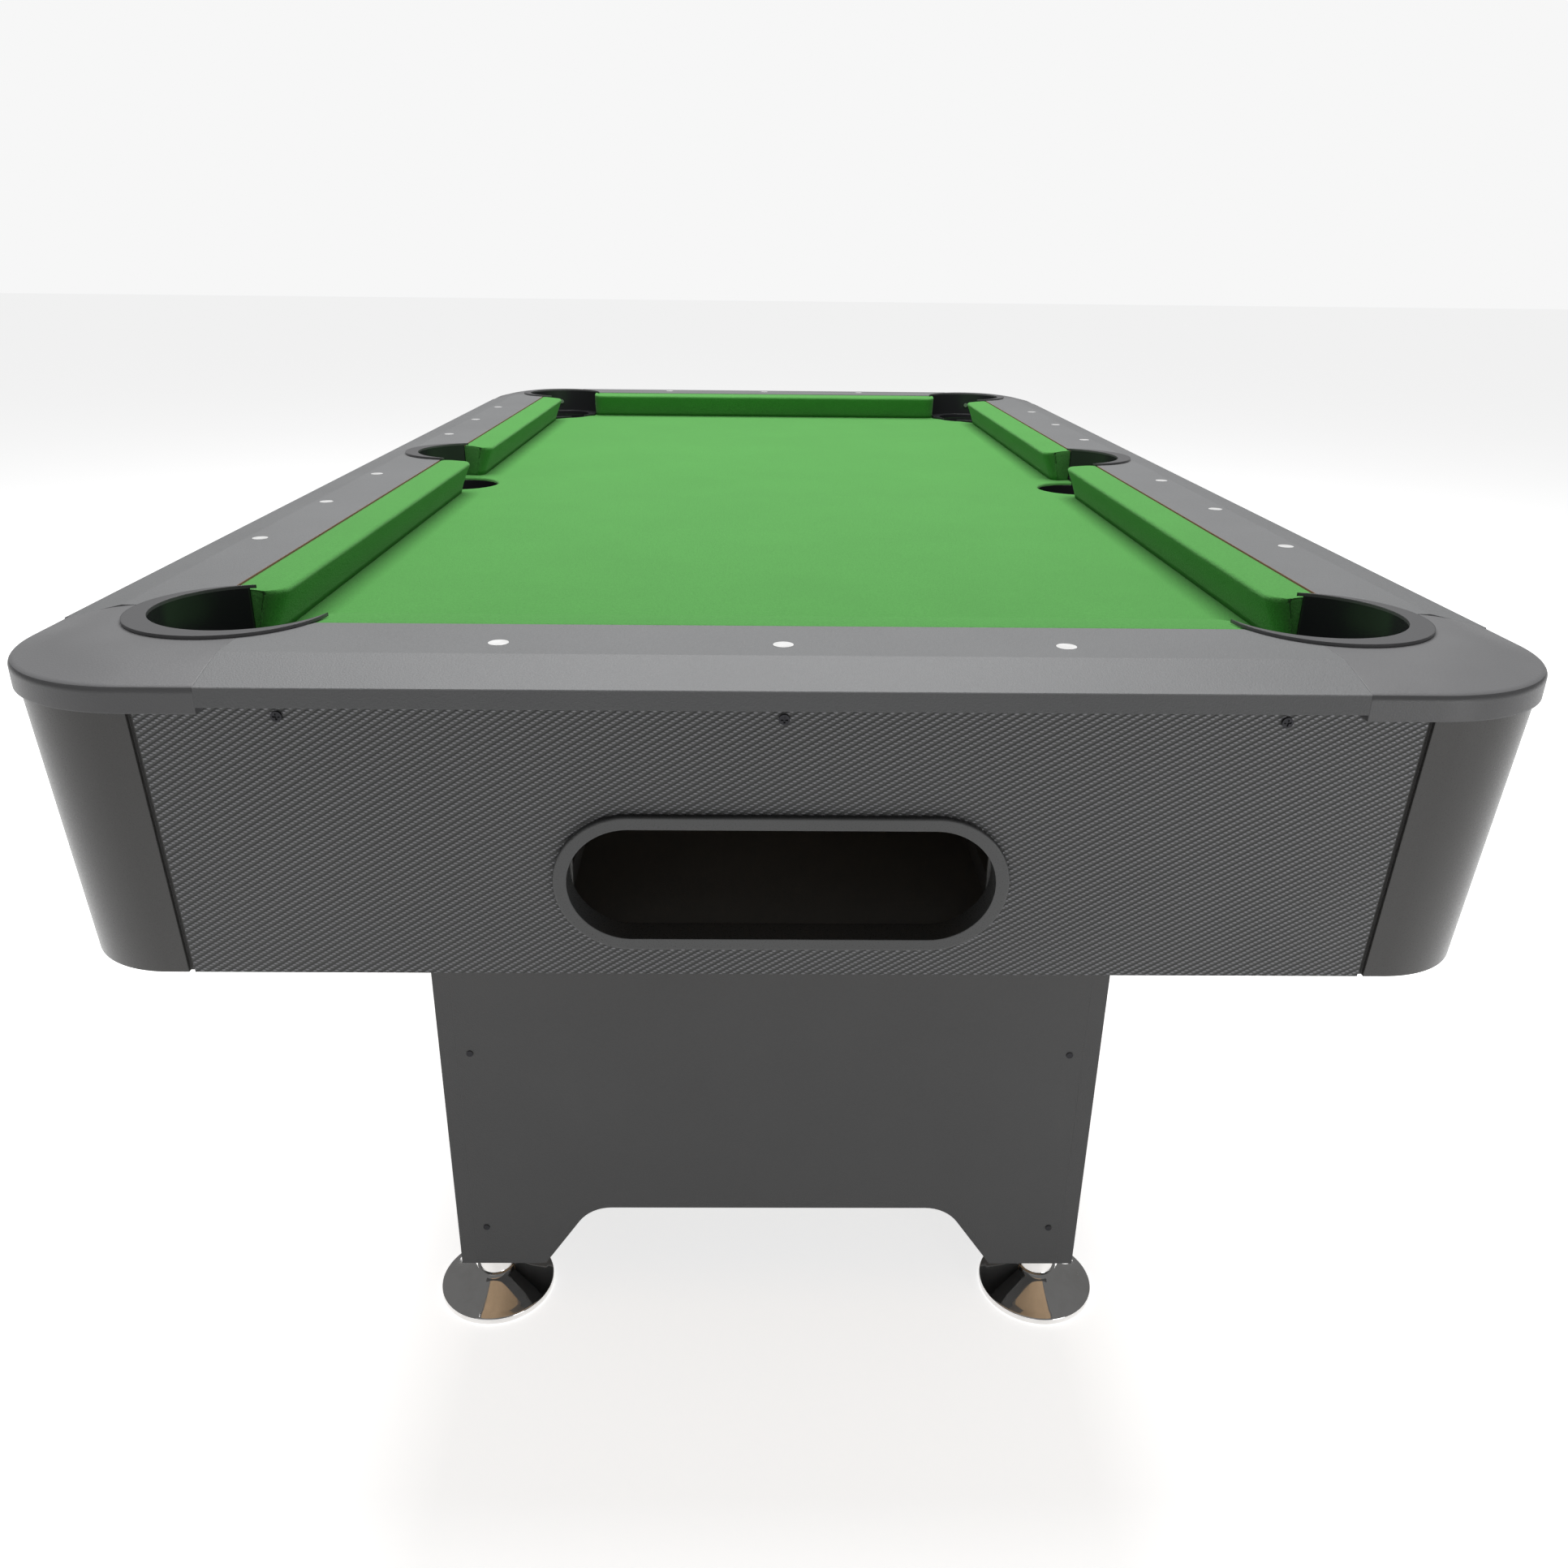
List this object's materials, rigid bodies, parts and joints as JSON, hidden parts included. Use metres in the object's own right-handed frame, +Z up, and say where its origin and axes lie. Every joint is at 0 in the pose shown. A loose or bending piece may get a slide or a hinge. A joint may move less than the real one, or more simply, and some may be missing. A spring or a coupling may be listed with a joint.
{
  "type": "pool table",
  "caption": "Pool table with green cloth, pockets feeding ball runs and a front return opening, on two box pedestals with screw-down levelling feet.",
  "frame": {"origin": "on the floor under the middle of the table", "axes": "+X across the table, +Y along it away from the ball-return end, +Z up"},
  "size_m": [0.99, 1.829, 0.7925],
  "materials": {
    "cloth": "napped green playing cloth over rubber and board",
    "bed_board": "plain fibreboard",
    "rail_laminate": "matte dark-grey textured laminate on fibreboard",
    "cap_plastic": "satin grained",
    "column_plastic": "satin",
    "panel_laminate": "dark-grey woven-look laminate on fibreboard",
    "liner_plastic": "satin collar, glossy throat",
    "bezel_plastic": "satin",
    "tray_plastic": "plain moulded",
    "pedestal_laminate": "matte dark-grey laminate on fibreboard",
    "raw_board": "plain fibreboard",
    "foot_chrome": "polished",
    "dot_plastic": "pearl white",
    "dark_screws": "black",
    "screws": "zinc plated"
  },
  "bodies": {
    "table": {"ball_run_left": "tray_plastic", "ball_run_right": "tray_plastic", "bed_beam_front": "raw_board", "bed_beam_rear": "raw_board", "bed_board": "bed_board", "bed_cloth": "cloth", "cabinet_floor": "raw_board", "cabinet_panel_front": "panel_laminate", "cabinet_panel_left": "panel_laminate", "cabinet_panel_rear": "panel_laminate", "cabinet_panel_right": "panel_laminate", "collection_tray": "tray_plastic", "corner_cap_front_left": "cap_plastic", "corner_cap_front_right": "cap_plastic", "corner_cap_rear_left": "cap_plastic", "corner_cap_rear_right": "cap_plastic", "corner_column_front_left": "column_plastic", "corner_column_front_right": "column_plastic", "corner_column_rear_left": "column_plastic", "corner_column_rear_right": "column_plastic", "cushion_front": "cloth", "cushion_front_left": "cloth", "cushion_front_right": "cloth", "cushion_rear": "cloth", "cushion_rear_left": "cloth", "cushion_rear_right": "cloth", "panel_screws": "screws", "pedestal_corner_posts": "raw_board", "pedestal_front_inner_board": "pedestal_laminate", "pedestal_front_left_board": "pedestal_laminate", "pedestal_front_outer_board": "pedestal_laminate", "pedestal_front_right_board": "pedestal_laminate", "pedestal_front_top_board": "pedestal_laminate", "pedestal_rear_inner_board": "pedestal_laminate", "pedestal_rear_left_board": "pedestal_laminate", "pedestal_rear_outer_board": "pedestal_laminate", "pedestal_rear_right_board": "pedestal_laminate", "pedestal_rear_top_board": "pedestal_laminate", "pedestal_screws": "dark_screws", "pocket_liner_front_left": "liner_plastic", "pocket_liner_front_right": "liner_plastic", "pocket_liner_left": "liner_plastic", "pocket_liner_rear_left": "liner_plastic", "pocket_liner_rear_right": "liner_plastic", "pocket_liner_right": "liner_plastic", "pocket_screws": "screws", "rail_front": "rail_laminate", "rail_left": "rail_laminate", "rail_rear": "rail_laminate", "rail_right": "rail_laminate", "return_bezel": "bezel_plastic", "sight_dots": "dot_plastic"},
    "leveler_front_left_inner": {"leveler_front_left_inner": "foot_chrome"},
    "leveler_front_left_outer": {"leveler_front_left_outer": "foot_chrome"},
    "leveler_front_right_inner": {"leveler_front_right_inner": "foot_chrome"},
    "leveler_front_right_outer": {"leveler_front_right_outer": "foot_chrome"},
    "leveler_rear_left_inner": {"leveler_rear_left_inner": "foot_chrome"},
    "leveler_rear_left_outer": {"leveler_rear_left_outer": "foot_chrome"},
    "leveler_rear_right_inner": {"leveler_rear_right_inner": "foot_chrome"},
    "leveler_rear_right_outer": {"leveler_rear_right_outer": "foot_chrome"}
  },
  "joints": [
    {"name": "leveler_front_left_inner_adjust", "type": "slide", "parent": "table", "child": "leveler_front_left_inner", "axis": [0, 0, -1], "range_m": [0, 0.022]},
    {"name": "leveler_front_left_outer_adjust", "type": "slide", "parent": "table", "child": "leveler_front_left_outer", "axis": [0, 0, -1], "range_m": [0, 0.022]},
    {"name": "leveler_front_right_inner_adjust", "type": "slide", "parent": "table", "child": "leveler_front_right_inner", "axis": [0, 0, -1], "range_m": [0, 0.022]},
    {"name": "leveler_front_right_outer_adjust", "type": "slide", "parent": "table", "child": "leveler_front_right_outer", "axis": [0, 0, -1], "range_m": [0, 0.022]},
    {"name": "leveler_rear_left_inner_adjust", "type": "slide", "parent": "table", "child": "leveler_rear_left_inner", "axis": [0, 0, -1], "range_m": [0, 0.022]},
    {"name": "leveler_rear_left_outer_adjust", "type": "slide", "parent": "table", "child": "leveler_rear_left_outer", "axis": [0, 0, -1], "range_m": [0, 0.022]},
    {"name": "leveler_rear_right_inner_adjust", "type": "slide", "parent": "table", "child": "leveler_rear_right_inner", "axis": [0, 0, -1], "range_m": [0, 0.022]},
    {"name": "leveler_rear_right_outer_adjust", "type": "slide", "parent": "table", "child": "leveler_rear_right_outer", "axis": [0, 0, -1], "range_m": [0, 0.022]}
  ]
}
